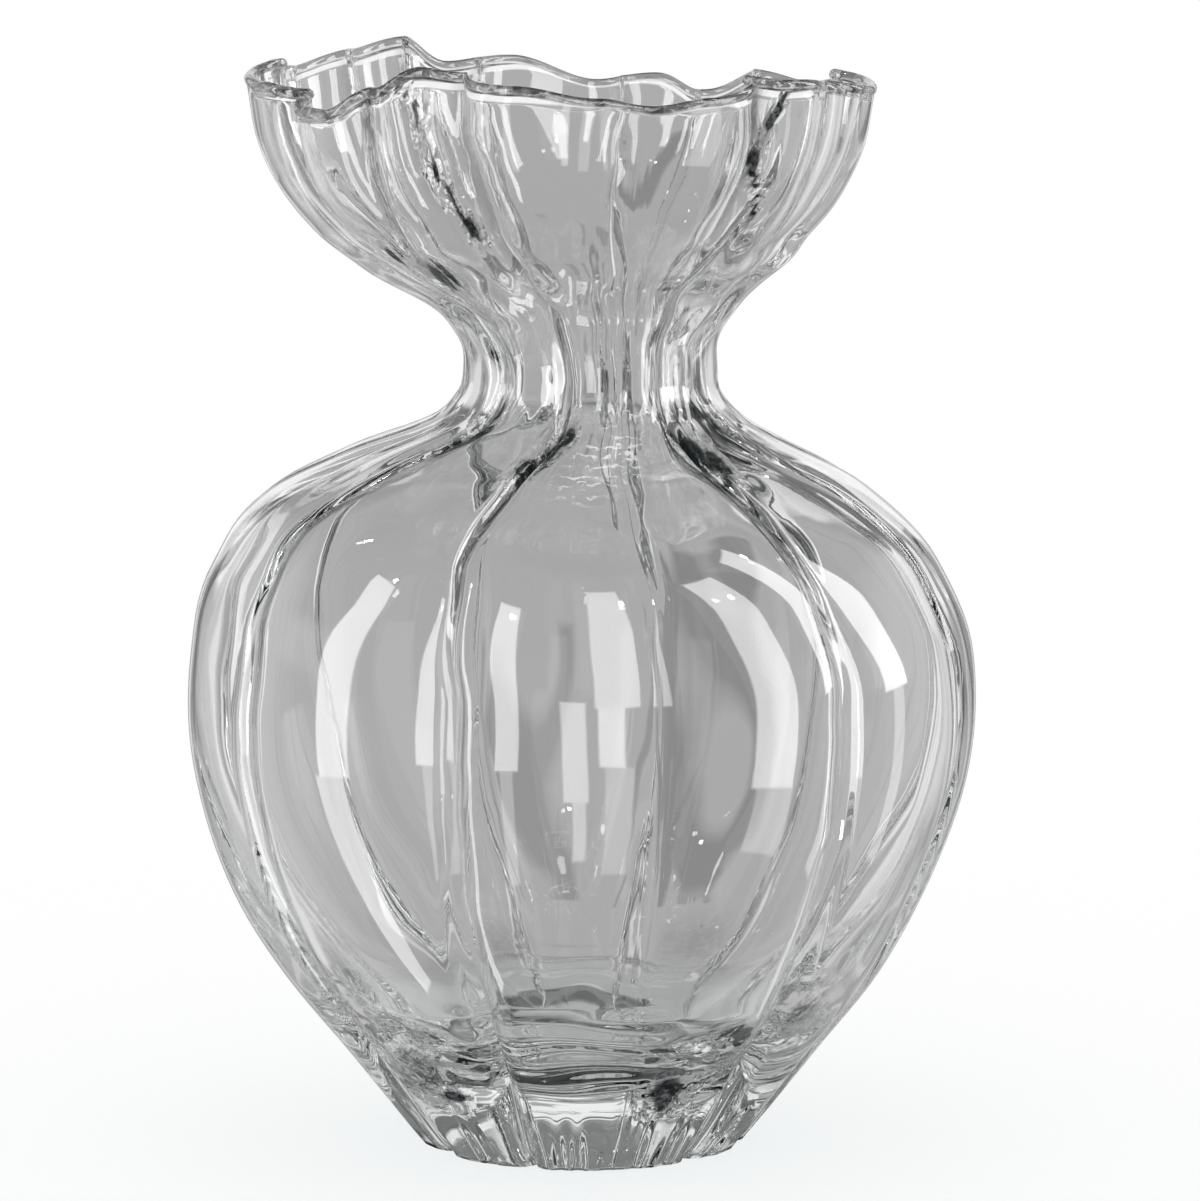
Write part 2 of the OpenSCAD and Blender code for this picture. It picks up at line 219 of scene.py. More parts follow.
# Crumpled patches: angle, height, half angle, half height, crumple and painted shade
PATCHES = [
    (-7, 186 * MM, 3, 2.5 * MM, 1, 1), (-10.5, 183 * MM, 3.4, 2.5 * MM, 1, 1),
    (-14, 180 * MM, 2.6, 2.5 * MM, 1, 1), (34, 186 * MM, 3, 2.5 * MM, 1, 1),
    (38, 183 * MM, 3.4, 2.5 * MM, 1, 1), (42, 179.5 * MM, 2.6, 3 * MM, 1, 1),
    (-41, 191 * MM, 3, 3 * MM, 1, 1), (-45, 187 * MM, 4.5, 3 * MM, 1, 1),
    (-48, 183.5 * MM, 3.5, 2.5 * MM, 1, 1), (58, 191 * MM, 3, 3 * MM, 1, 1),
    (57, 187.5 * MM, 3, 2.5 * MM, 1, 1), (-44, 231 * MM, 1.6, 3 * MM, 1, 1),
    (-36, 225 * MM, 3, 5 * MM, 1, 0.9), (-39, 30 * MM, 9, 9 * MM, 0.9, 0.5),
    (-33, 21 * MM, 4, 3 * MM, 1, 0.9), (20, 24 * MM, 6, 6 * MM, 0.9, 0.7),
    (20, 20 * MM, 3, 3 * MM, 1, 0.9), (33, 34 * MM, 7, 6 * MM, 0.8, 0.5),
    (47, 42 * MM, 6, 7 * MM, 0.9, 0.5), (-52, 42 * MM, 6, 6 * MM, 0.8, 0.5),
    (150, 30 * MM, 9, 8 * MM, 0.9, 0.4), (205, 26 * MM, 8, 7 * MM, 0.9, 0.4),
    (262, 34 * MM, 8, 8 * MM, 0.9, 0.4), (100, 32 * MM, 8, 8 * MM, 0.9, 0.4),
]
# Black lines of painted shade where the collar's glass folded on itself, also crumpled: half width,
# then heights and angles
TEARS = [
    (0.6 * MM, [(236 * MM, 44), (243 * MM, 44), (252 * MM, 43), (259 * MM, 43.5), (272 * MM, 46)]),
    (0.8 * MM, [
        (231 * MM, -17.5), (236 * MM, -19.5), (243 * MM, -22), (252 * MM, -24.5), (262 * MM, -26.5),
        (268 * MM, -29), (273 * MM, -33),
    ]),
]
# A line fades from this share of its half width on, and starts over this height.
TEAR_WHOLE = 1
TEAR_START = 4 * MM
# Waves up each line bend it, in degrees, and thin it here and there: size, and height of a wave
# over 2 pi
TEAR_BEND = (0.12, 3.4 * MM)
TEAR_STRENGTH = 0.9
TEAR_BREAKS = [(0.15, 2.3 * MM), (0.15, 5.3 * MM)]
# Painted white highlights on wrinkles under the neck: angle, height, half angle, half height, and
# strength, and the share of the half sizes from which they fade
PAINTED_HIGHLIGHTS = [(9, 183 * MM, 10, 6 * MM, 0.9), (3, 177 * MM, 7, 4 * MM, 0.8)]
WRINKLE_WHOLE = 0.4

ends = GROOVES + [(*(each + 360 for each in GROOVES[0][:3]), *GROOVES[0][3:])]
stations = []
for row, after in zip(ends, ends[1:]):
    for step in range(RIB_STEPS):
        t = step / RIB_STEPS
        t -= CROWD * math.sin(4 * math.pi * t) + LEAN * math.sin(2 * math.pi * t)
        mixed = [low + (high - low) * t for low, high in zip(row, after)]
        rib_angle = math.radians(after[0] - row[0])
        stations.append([*mixed, rib_angle, abs(2 * t - 1) ** CROWN, min(t, 1 - t)])
columns = np.array(stations).T
body_angle, neck_angle, rim_angle, body_part, collar_part, body_sharp, collar_sharp = columns[:7]
gap, across, near = columns[7:]
rng = np.random.default_rng(5)
wander_phase = rng.uniform(0, 2 * math.pi, len(WANDERS))
wave_phase = rng.uniform(0, 2 * math.pi, (2, len(WAVES)))
flute_phase = rng.uniform(0, 2 * math.pi, (2, len(NECK_FLUTES) + len(FOOT_FLUTES)))


def eased(at, rows):
    """Values between the rows, turning gently at each."""
    places, values = np.array(rows).T
    i = np.clip(np.searchsorted(places, at, side="right") - 1, 0, len(places) - 2)
    t = np.clip((at - places[i]) / (places[i + 1] - places[i]), 0, 1)
    return values[i] + (values[i + 1] - values[i]) * (1 - np.cos(np.pi * t)) / 2


def rising(value, start, whole):
    """0 at the start, then evenly up to 1 where it is whole."""
    return np.clip((value - start) / (whole - start), 0, 1)


def fading(away, reach, flat=0.0):
    """1 up to the flat share of the reach, then evenly down to 0 over one reach."""
    return np.clip(1 + flat - away / reach, 0, 1)


def waves(rows, phases, turn, height):
    """Low waves round the vase and up it."""
    return sum(
        size * np.sin(count * turn + rise * height + phase)
        for (count, rise, size), phase in zip(rows, phases)
    )


def turned(angle, middle):
    """Degrees from a middle angle, the short way round."""
    return (angle - middle + 180) % 360 - 180


def beside(angle, middle, radius):
    """How far round the vase a point is from a middle angle, in metres."""
    return np.radians(np.abs(turned(angle, middle))) * radius


def off_centre(angle, height, middle, level, half, reach):
    """How far a point is from a patch's middle: 1 at the patch's half sizes."""
    return np.hypot(turned(angle, middle) / half, (height - level) / reach)


def table_angle(angle):
    """The same angle within a table round the vase."""
    return np.where(angle > LAST_ANGLE, angle - 360, angle)


def looks(angle, height, radius, away, sharp, up):
    """How much painted shade, crumple and painted white highlight the glass has at each point."""
    dark_w = DARK_W + (DARK_RIM_W - DARK_W) * up
    # Painted shade: dark lines in creases and folds, and dark pleats, patches and lines, stand in
    # for shade there.
    painted_shade = sharp * fading(away, dark_w, MARK_WHOLE) * eased(height, DARKS)
    crumple = sharp * fading(away, PLEAT_W, MARK_WHOLE)
    crumple = crumple * np.exp(-(((height - PLEAT_Z) / PLEAT_H) ** 2))
    crumple = crumple * rising(np.abs(angle), *PLEAT_ENDS)
    painted_shade = np.maximum(painted_shade, crumple * PLEAT_DARK)
    for middle, _, _, edge in FOLDS:
        close = fading(beside(angle, middle, radius), dark_w, MARK_WHOLE)
        painted_shade = np.maximum(painted_shade, edge * up * close)
    for middle, level, half, reach, rough, shade in PATCHES:
        close = fading(off_centre(angle, height, middle, level, half, reach), 1, MARK_WHOLE)
        crumple = np.maximum(crumple, rough * close)
        painted_shade = np.maximum(painted_shade, shade * close)
    bend, bend_h = TEAR_BEND
    strength = TEAR_STRENGTH + sum(size * np.sin(height / each) for size, each in TEAR_BREAKS)
    for half, line in TEARS:
        middle = eased(height, line) + bend * np.sin(height / bend_h)
        close = fading(beside(angle, middle, radius), half, TEAR_WHOLE) * np.clip(strength, 0, 1)
        close = close * rising(height, line[0][0], line[0][0] + TEAR_START)
        crumple = np.maximum(crumple, close)
        painted_shade = np.maximum(painted_shade, close)
    # Painted highlight: white strokes on the wrinkles under the neck
    white = 0
    for middle, level, half, reach, strength in PAINTED_HIGHLIGHTS:
        close = fading(off_centre(angle, height, middle, level, half, reach), 1, WRINKLE_WHOLE)
        white = np.maximum(white, strength * close)
    return np.stack([painted_shade, crumple, white], axis=2)


def skin(places, normals, ribs, creases, inner=0, extra=0.0):
    """Rings round the vase at (height, radius) places, pushed in by ribs and creases.

    A second array gives each point's painted shade, crumple and painted white highlight.
    """
    height, radius = places[:, :1], places[:, 1:2]
    up = rising(height, NECK_Z, RIM_Z)
    part = body_part + (collar_part - body_part) * up
    sharp = body_sharp + (collar_sharp - body_sharp) * up
    to_neck = rising(height / NECK_Z, *NECK_TURN)
    to_neck = to_neck**2 * (3 - 2 * to_neck)
    to_rim = rising(up, *RIM_TURN)
    angle = body_angle + (neck_angle - body_angle) * to_neck + (rim_angle - neck_angle) * to_rim
    wander = waves(WANDERS, wander_phase, np.radians(body_angle), height)
    angle = angle + wander * (BODY_WANDER + up)
    turn = np.radians(angle)

    rib = ribs[:, None] * (1 + (INSIDE_RIB - 1) * (1 - up) * inner) * eased(height, FULLNESS)
    crease = creases[:, None] * (1 + (INSIDE_CREASE - 1) * (1 - up) * inner)
    fore = rising(np.abs(body_angle - 180), *BACK_ENDS)
    crease = crease * eased(height, SHALLOWS) * (BACK_SHARE + (1 - BACK_SHARE) * fore)
    away = near * gap * radius
    to_edge = np.clip(away / eased(height, CREASE_WIDTHS), 0, 1)
    groove = (1 - to_edge) ** 2
    soft = np.maximum(eased(height, SOFTS), rising(body_sharp, *FAINT))
    groove = groove + (SOFT_DEPTH * (1 - to_edge**2) ** 2 - groove) * soft
    depth = part * (rib * across + crease * groove)

    line = sharp * fading(away, SHARP_W) ** 2
    for middle, deep, half, edge in FOLDS:
        from_fold = beside(angle, middle, radius)
        depth += deep * up * fading(from_fold, half) ** 2
        line += edge * up * fading(from_fold, SHARP_W) ** 2
    depth += SHARP_D * eased(height, SHARP) * (1 - inner) * line
    depth += rising(height, *WAVES_RISE) * waves(WAVES, wave_phase[inner], turn, height) * MM
    pinch = np.exp(-(((height - NECK_Z) / NECK_REACH) ** 2))
    depth += pinch * waves(NECK_FLUTES, flute_phase[inner], turn, height) * MM
    ankle = np.exp(-((height / FOOT_REACH) ** 2)) * (1 - inner)
    depth += ankle * waves(FOOT_FLUTES, flute_phase[inner, len(NECK_FLUTES):], turn, height) * MM
    low = fading(height, NICK_FADE, NICK_WHOLE) * (1 - inner)
    for middle, half, deep in FOOT_NICKS:
        from_nick = np.clip(beside(angle, middle, radius) / half, 0, 1)
        depth += deep * low * (1 - from_nick**2) ** 2
    depth += extra

    out_up, out_side = normals[:, :1], normals[:, 1:2]
    pushed_r = radius - out_side * depth
    along = np.where(height < NECK_Z, height / NECK_Z, 1 + up)
    lift = RUFFLE_H * eased(table_angle(angle), RUFFLE) * rising(up, *RUFFLE_RISE) ** 2
    spots = np.stack(
        [
            pushed_r * np.sin(turn) + SWAY * eased(along, SWAYS),
            -pushed_r * np.cos(turn),
            height - out_up * depth + lift,
        ],
        axis=2,
    )
    return spots, looks(angle, height, radius, away, sharp, up)


# The glass mesh: one closed skin. It runs from the flat face that the vase stands on up the
# outside to the rim, round the bead that the flame rounded, down the inside of the neck and
# belly, and over the bowl's floor on the solid foot.

# Rings on the flat face, as shares of the foot's radius
UNDER_SHARES = (0.25, 0.5, 0.75, 0.92)
# The bead: radius, steps round it, and its thickness round the rim as a share
BEAD_R = 1.5 * MM
BEAD_STEPS = 14
BEAD_SIZES = [
    (-85, 1), (-56, 1.1), (-37, 1.2), (-22, 1.1), (-10, 0.95), (10, 0.8), (28, 0.85), (41, 1.1),
    (60, 0.9), (90, 1), (140, 1.15), (170, 0.9), (213, 1.1), (240, 0.9), (LAST_ANGLE, 1),
]
# How much painted shade the bead has from its crest, in degrees down its sides, and how much more
# in blobs of painted shade, whose waves have a count round the rim, a phase, and a twist down the
# sides
BEAD_PAINTED_SHADES = [(0, 1), (25, 0.95), (45, 0.75), (75, 0.72), (105, 0.72), (125, 0.85), (150, 0.4)]
BEAD_SHADE_BLOBS = 0.8
BLOB_WAVES = [(13, 1, 1), (29, 4, -1), (47, 2, 1), (83, 5, -1)]
BLOB_TWIST = 60
# How crumpled the bead is, and its painted white highlight. Behind, past these angles, its painted
# shade is paler and it has no painted highlight.
BEAD_CRUMPLE = 0.05
BEAD_PAINTED_GLINT = 0.3
BEAD_BACK = 0.35
BEAD_ENDS = (115, 90)
# The bowl's floor starts at this row of the outline, and curves down to its height. The last
# two are how far it stays level in the middle and steep at the side.
BEND_ROW = 3
FLOOR_T = 25 * MM
BOWL_STEPS = 60
FLOOR_ROUND = 0.47
SIDE_ROUND = 0.36
# Ripples in the bowl's floor: depth, how many out to the side, and how they bend round the vase
RIPPLE = 0.5 * MM
RIPPLES = 6.6
RIPPLE_BEND = 1.3
RIPPLE_BENDS = 9
RIPPLE_TWIST = 6
# They lie in front and, stronger, behind: middle and half angle. They start and, behind, end at
# these shares of the way out.
FRONT_RIPPLES = (-4, 24)
FAR_RIPPLES = (174, 50)
FAR_STRENGTH = 1.6
RIPPLE_CROWN = 0.4
RIPPLE_START = (0.15, 0.45)
FAR_END = (0.72, 0.57)

outside, outside_marks = skin(outline[:, :2], outward, outline[:, 3], outline[:, 4])
underside = outside[0] * np.array(UNDER_SHARES)[:, None, None] * (1, 1, 0)

top, out = outline[-1], outward[-1]
up_wall = np.array([out[1], -out[0]])
half_wall = top[2] / 2
seat = math.asin(half_wall / BEAD_R)
bead_middle = top[:2] - out * half_wall + up_wall * BEAD_R * math.cos(seat)
round_it = (math.pi - seat) * (1 - 2 * np.arange(1, BEAD_STEPS)[:, None] / BEAD_STEPS)
bead_places = bead_middle + BEAD_R * (up_wall * np.cos(round_it) + out * np.sin(round_it))
bead, _ = skin(
    np.vstack([bead_places, bead_middle]), np.tile(out, (BEAD_STEPS, 1)),
    np.full(BEAD_STEPS, top[3]), np.full(BEAD_STEPS, top[4]),
)
bead = bead[-1] + (bead[:-1] - bead[-1]) * eased(table_angle(rim_angle), BEAD_SIZES)[:, None]
tip = np.abs(np.degrees(round_it))
count = len(body_angle)
along_rim = np.arange(count) / count * 2 * math.pi
blobs = sum(
    np.sin(number * along_rim + phase + twist * tip / BLOB_TWIST)
    for number, phase, twist in BLOB_WAVES
)
# The bead's painted shade: darker at the crest and in blobs, paler behind. Its white is a painted
# highlight in front.
shade = eased(tip, BEAD_PAINTED_SHADES)
shade = shade + BEAD_SHADE_BLOBS * np.clip(blobs / 2, -1, 1) * (1 - shade)
facing = rising(np.abs(turned(rim_angle, 0)), *BEAD_ENDS)
shade = np.clip(shade, 0, 1) * (BEAD_BACK + (1 - BEAD_BACK) * facing)
bead_marks = np.stack(np.broadcast_arrays(shade, BEAD_CRUMPLE, BEAD_PAINTED_GLINT * facing), axis=2)

last = ROW_STEPS * BEND_ROW
walls = outline[:last - 1:-1]
wall_out = outward[:last - 1:-1]
inside, _ = skin(
    walls[:, :2] - wall_out * walls[:, 2:3], wall_out, walls[:, 3], walls[:, 4], inner=1
)

bend, bend_out = outline[last], outward[last]
side = bend[:2] - bend_out * bend[2]
down_wall = np.array([-bend_out[1], bend_out[0]])
corners = [
    np.array([FLOOR_T, 0]),
    np.array([FLOOR_T, side[1] * FLOOR_ROUND]),
    side + down_wall * side[1] * SIDE_ROUND,
    side,
]
t = np.arange(BOWL_STEPS - 1, 0, -1)[:, None] / BOWL_STEPS
weights = ((1 - t) ** 3, 3 * t * (1 - t) ** 2, 3 * t**2 * (1 - t), t**3)
bowl_places = sum(weight * corner for weight, corner in zip(weights, corners))
front, far = (
    fading(np.abs(turned(body_angle, middle)), half) ** RIPPLE_CROWN
    for middle, half in (FRONT_RIPPLES, FAR_RIPPLES)
)
strength = front + FAR_STRENGTH * far * rising(t, *FAR_END)
bent = RIPPLE_BEND * np.sin(np.radians(body_angle) * RIPPLE_BENDS + RIPPLE_TWIST * t)
ripples = RIPPLE * strength * rising(t, *RIPPLE_START) * np.sin(RIPPLES * 2 * math.pi * t + bent)
bowl, _ = skin(
    bowl_places, np.tile(bend_out, (len(t), 1)), bend[3] * t[:, 0] ** 2, bend[4] * t[:, 0] ** 2,
    inner=1, extra=ripples,
)

rings = np.concatenate([underside, outside, bead, inside, bowl])
# Marks: the painted shade, crumple and painted white highlight of each point
marks = np.zeros(rings.shape)
marked = np.concatenate([outside_marks, bead_marks])
marks[len(underside):len(underside) + len(marked)] = marked
marks = np.vstack([(0, 0, 0), marks.reshape(-1, 3), (0, 0, 0)])
points = [(0, 0, 0), *rings.reshape(-1, 3).tolist(), (0, 0, FLOOR_T)]
faces = []
for k in range(count):
    after = (k + 1) % count
    faces.append((0, 1 + after, 1 + k))
    for i in range(len(rings) - 1):
        low, high = 1 + i * count, 1 + (i + 1) * count
        faces.append((low + k, low + after, high + after, high + k))
    low = 1 + (len(rings) - 1) * count
    faces.append((low + k, low + after, len(points) - 1))
mesh = bpy.data.meshes.new("vase_glass")
mesh.from_pydata(points, [], faces)
mesh.validate()
mesh.shade_smooth()
for i, name in enumerate(("painted_shade", "crumple", "white")):
    layer = mesh.attributes.new(name, "FLOAT", "POINT")
    layer.data.foreach_set("value", marks[:, i].astype(np.float32))
vase = bpy.data.objects.new("vase_glass", mesh)
scene.collection.objects.link(vase)


# Clear glass: colourless soda glass, polished by the flame, with a faint cool tint in its depth.
# In the creases its colour is painted dark as painted shade. Crumpled glass is lumpy, and painted
# black as painted shade where it is dark too. White wrinkles are painted highlights: fine broken
# strokes of white.

TINT = (0.70, 0.83, 0.82, 1)
TINT_DENSITY = 1.2
LIGHT_TINT = (0.95, 0.96, 0.96, 1)
# Painted shade for creases and folds, and a painted white highlight for wrinkles
PAINTED_SHADE_BLACK = (0.003, 0.006, 0.007, 1)
FOLD_SHADE_BLACK = (0.008, 0.011, 0.012, 1)
PAINTED_HIGHLIGHT_WHITE = (0.95, 0.95, 0.95, 1)
LUMP_H = 1.2 * MM
# How fine each pattern is, in features a metre
GRAIN = 420.0
LUMPS = 260.0
STROKES = 165.0
GAPS = 380.0
# Where each pattern sets in, and how steeply
GRAIN_FROM = (0.42, 8)
STROKES_FROM = (0.76, 7)
GAPS_FROM = (0.41, 7)
BLACK_FROM = (0.35, 4)
# How strongly the painted shade of creases and folds and the painted highlights of wrinkles cover
# the glass, the first two without and with grain
CREASE_COVER = (0.8, 1.0)
FOLD_COVER = (0.78, 0.98)
WRINKLE_COVER = 0.85


class Wire:
    """An output in a node tree. Sums on wires add Math nodes."""

    def __init__(self, tree, socket=None):
        self.tree = tree
        self.socket = socket

    def node(self, kind, settings=None, inputs=None, output=0):
        """A new node: its settings first, then values or wires on its inputs."""
        made = self.tree.nodes.new(kind)
        for name, value in (settings or {}).items():
            setattr(made, name, value)
        for key, value in (inputs or {}).items():
            if isinstance(value, Wire):
                self.tree.links.new(value.socket, made.inputs[key])
            else:
                made.inputs[key].default_value = value
        return Wire(self.tree, made.outputs[output] if made.outputs else None)

    def output(self, name):
        """Another output of the same node."""
        return Wire(self.tree, self.socket.node.outputs[name])

    def math(self, operation, *values):
        """A Math node on values or wires."""
        return self.node("ShaderNodeMath", {"operation": operation}, dict(enumerate(values)))

    def above(self, low, steep):
        """0 up to a low value, then steeply up to 1."""
        return self.node("ShaderNodeClamp", inputs={0: (self - low) * steep})

    def __add__(self, other):
        return self.math("ADD", self, other)

    def __radd__(self, other):
        return self.math("ADD", other, self)

    def __sub__(self, other):
        return self.math("SUBTRACT", self, other)

    def __rsub__(self, other):
        return self.math("SUBTRACT", other, self)

    def __mul__(self, other):
        return self.math("MULTIPLY", self, other)

    def __rmul__(self, other):
        return self.math("MULTIPLY", other, self)

    def __truediv__(self, other):
        return self.math("DIVIDE", self, other)

    def __rtruediv__(self, other):
        return self.math("DIVIDE", other, self)

    def __abs__(self):
        return self.math("ABSOLUTE", self)


def new_material(name):
    """An empty node material, with the wire that starts its tree."""
    material = bpy.data.materials.new(name)
    material.use_nodes = True
    material.node_tree.nodes.clear()
    return material, Wire(material.node_tree)


def either_ray(start, first, second):
    """1 for rays of these two kinds, and 0 for the others."""
    path = start.node("ShaderNodeLightPath")
    return path.output(f"Is {first} Ray") + path.output(f"Is {second} Ray")


def grained(cover, grain):
    """A cover between its two values, by the grain."""
    return grain * (cover[1] - cover[0]) + cover[0]


clear_glass, start = new_material("clear_glass")
spot = start.node("ShaderNodeTexCoord", output="Object")
painted_shade, crumple, white = (
    start.node("ShaderNodeAttribute", {"attribute_name": name}, output="Fac")
    for name in ("painted_shade", "crumple", "white")
)
grain = start.node("ShaderNodeTexNoise", inputs={"Vector": spot, "Scale": GRAIN, "Detail": 3.0})
lumps = start.node("ShaderNodeTexNoise", inputs={"Vector": spot, "Scale": LUMPS, "Detail": 1.0})
gaps = start.node("ShaderNodeTexNoise", inputs={"Vector": spot, "Scale": GAPS, "Detail": 1.0})
strokes = start.node(
    "ShaderNodeTexWave", {"bands_direction": "Z"},
    {"Vector": spot, "Scale": STROKES, "Distortion": 8.0, "Detail": 3.0, "Detail Scale": 1.6},
    output="Fac",
)
grain = grain.above(*GRAIN_FROM)
# Painted shade: the glass's colour turns black in creases and folds
painted_shade_colour = start.node(
    "ShaderNodeMix", {"data_type": "RGBA"},
    {0: painted_shade * grained(CREASE_COVER, grain), 6: (1, 1, 1, 1), 7: PAINTED_SHADE_BLACK}, output=2,
)
rough = start.node(
    "ShaderNodeBump", inputs={"Strength": 1.0, "Distance": LUMP_H, "Height": crumple * lumps}
)
body = start.node(
    "ShaderNodeBsdfPrincipled",
    inputs={
        "Base Color": painted_shade_colour,
        "Normal": rough,
        "Roughness": 0.0,
        "IOR": 1.5,
        "Transmission Weight": 1.0,
    },
)
# Painted highlight: white diffuse strokes on the wrinkles
painted_highlight = start.node("ShaderNodeBsdfDiffuse", inputs={"Color": PAINTED_HIGHLIGHT_WHITE})
painted_highlight_mask = strokes.above(*STROKES_FROM) * gaps.above(*GAPS_FROM) * white * WRINKLE_COVER
body = start.node("ShaderNodeMixShader", inputs={0: painted_highlight_mask, 1: body, 2: painted_highlight})
# Painted shade: an opaque black surface laid over crumpled glass that is dark too
painted_shade_fold = start.node(
    "ShaderNodeBsdfPrincipled",
    inputs={
        "Base Color": FOLD_SHADE_BLACK,
        "Normal": rough,
        "Roughness": 0.1,
        "Specular IOR Level": 0.25,
    },
)
fold_shade_mask = (painted_shade * crumple).above(*BLACK_FROM) * grained(FOLD_COVER, grain)
body = start.node("ShaderNodeMixShader", inputs={0: fold_shade_mask, 1: body, 2: painted_shade_fold})
lets_light_through = start.node("ShaderNodeBsdfTransparent", inputs={"Color": LIGHT_TINT})
surface = start.node(
    "ShaderNodeMixShader",
    inputs={0: either_ray(start, "Shadow", "Diffuse"), 1: body, 2: lets_light_through},
)
depth_tint = start.node(
    "ShaderNodeVolumeAbsorption", inputs={"Color": TINT, "Density": TINT_DENSITY}
)
start.node("ShaderNodeOutputMaterial", inputs={"Surface": surface, "Volume": depth_tint})
mesh.materials.append(clear_glass)
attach(vase, "root")
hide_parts("foot", "belly", "shoulder", "neck", "throat", "collar", "rim")


# The studio's floor: plain paper, white to the camera. Through the glass it is grey, paler
# towards the back, with two thin dark rings of painted contact shadow where the foot touches it,
# and further out it lets the room show.

FLOOR_R = 0.5
FLOOR_SIDES = 64
FLOOR_Z = -0.3 * MM
# The grey in front and behind, and from where to where it changes along Y
GREYS = (0.05, 0.5)
GREYS_Y = (-0.035, 0.025)
# The room shows past these distances from the axis.
BEYOND = (0.06, 0.08)
# The rings of painted contact shadow: two radii, half widths of the dark and of its soft edge, and
# shade
CONTACT_R = 0.042
INNER_SHADOW_R = 0.027
CONTACT_W = (0.0025, 0.005)
CONTACT_SHADOW = 0.16


def ramp(value, low, high, start_value=0.0, end_value=1.0):
    """A smooth step from one value to another."""
    return value.node(
        "ShaderNodeMapRange", {"interpolation_type": "SMOOTHSTEP"},
        {0: value, 1: low, 2: high, 3: start_value, 4: end_value},
    )


floor_mesh = bpy.data.meshes.new("floor")
corner_turns = [2 * math.pi * a / FLOOR_SIDES for a in range(FLOOR_SIDES)]
floor_mesh.from_pydata(
    [(FLOOR_R * math.sin(turn), FLOOR_R * math.cos(turn), FLOOR_Z) for turn in corner_turns],
    [], [tuple(reversed(range(FLOOR_SIDES)))],
)
floor = bpy.data.objects.new("floor", floor_mesh)
scene.collection.objects.link(floor)
floor_paper, start = new_material("floor_paper")
spot = start.node("ShaderNodeTexCoord", output="Object")
to_back = start.node("ShaderNodeSeparateXYZ", inputs={0: spot}, output="Y")
from_axis = start.node("ShaderNodeVectorMath", {"operation": "LENGTH"}, {0: spot}, output="Value")
# Painted contact shadow: two dark rings on the floor, at the foot's edge and inside it
from_ring = start.math("MINIMUM", abs(from_axis - CONTACT_R), abs(from_axis - INNER_SHADOW_R))
shade = ramp(to_back, *GREYS_Y, *GREYS) * ramp(from_ring, *CONTACT_W, CONTACT_SHADOW, 1.0)
black = start.node("ShaderNodeBsdfDiffuse", inputs={"Color": (0, 0, 0, 1)})
white = start.node("ShaderNodeBsdfDiffuse", inputs={"Color": (1, 1, 1, 1)})
grey = start.node("ShaderNodeMixShader", inputs={0: shade, 1: black, 2: white})
beyond = start.node("ShaderNodeMapRange", inputs={0: from_axis, 1: BEYOND[0], 2: BEYOND[1]})
room_below = start.node("ShaderNodeBsdfTransparent")
through = start.node("ShaderNodeMixShader", inputs={0: beyond, 1: grey, 2: room_below})
paper = start.node(
    "ShaderNodeMixShader",
    inputs={0: either_ray(start, "Transmission", "Glossy"), 1: white, 2: through},
)
start.node("ShaderNodeOutputMaterial", inputs={"Surface": paper})
floor_mesh.materials.append(floor_paper)


# The studio's room: white to the camera and to what lights the floor. In the glass it shows as
# grey paper all round, with paler and darker pieces of it behind, tall bright windows and small
# lamps. Places are azimuths from the front, -Y, towards +X, and elevations, in degrees.

# The paper's grey from far below up to the horizon, and where it changes
BELOW = 0.06
BEHIND = 0.43
BELOW_ENDS = (-60.0, -35.0)
# Paper laid over it: strength, and where each piece starts, is whole, is still whole and ends.
# The band and the seam lie across the back, and the others at both sides.
BAND = 0.95
BAND_ENDS = (1.0, 4.0, 16.0, 20.0)
SEAM_ENDS = (21.0, 22.0, 30.0, 31.0)
FORE = 0.26
FORE_ENDS = (100.0, 70.0)
SIDES = 0.72
SIDES_ENDS = (100.0, 115.0, 138.0, 152.0)
CARDS = 0.13
CARDS_ENDS = (153.0, 155.0, 160.0, 162.0)
STRIPS = 1.0
STRIPS_ENDS = (163.0, 164.0, 167.0, 168.0)
# The cards and strips are fainter below.
LOW_SHARE = 0.35
LOW_ENDS = (-28.0, -2.0)
CEILING = 0.2
CEILING_ENDS = (18.0, 34.0)
# Windows: azimuth of the middle, half width, lowest and highest elevation, and strength
WINDOWS = [
    (14, 8, 8, 60, 3.0), (-1.5, 4.4, -22, 10, 2.9), (-0.5, 2.4, -40, -22, 2.2),
    (-75.5, 6.8, -16, 44, 3.8), (-78, 6.5, -62, -16, 2.6), (-30, 6.6, -12, 50, 3.8),
    (-30, 3.6, -44, -12, 1.5), (11, 4, -10, 8, 3.6), (13, 4.4, -44, -10, 1.2),
    (61, 9, -18, 60, 3.8), (62, 8, -36, -18, 1.4), (99, 8.5, 2, 62, 3.8),
    (100, 4, -34, 2, 1.4),
]
# How strong the windows are in reflections, and where they are seen through the glass
SHINE = 2.25
GLIMPSE = 0.2
# Narrow dark cards: the same as for a window, with a soft edge before the strength
DARK_CARDS = [(177.75, 0.6, -15.2, -5, 0.4, 0.17), (-179.4, 0.35, -15.2, -8.5, 0.3, 0.12)]
# Small lamps between and over the windows: azimuth, elevation, radius and strength
LAMPS = [
    (-118, 50, 1.0, 70), (-71, 46, 1.1, 90), (-28, 46, 1.0, 90), (22, 54, 0.9, 70),
    (64, 49, 1.0, 80), (108, 56, 1.0, 70), (-4, -24, 0.5, 70), (36, -34, 0.5, 70),
]
WINDOW_EDGE = 1.0
LAMP_EDGE = 0.5
DEGREES = 180 / math.pi


def between(value, low, low_whole, high_whole, high):
    """1 in the middle of a range, with a smooth step down to 0 at each end."""
    return ramp(value, low, low_whole) * ramp(value, high, high_whole)


def laid_over(room, field, strength):
    """The room's light, with a new strength where the field is 1."""
    return room + field * (strength - room)


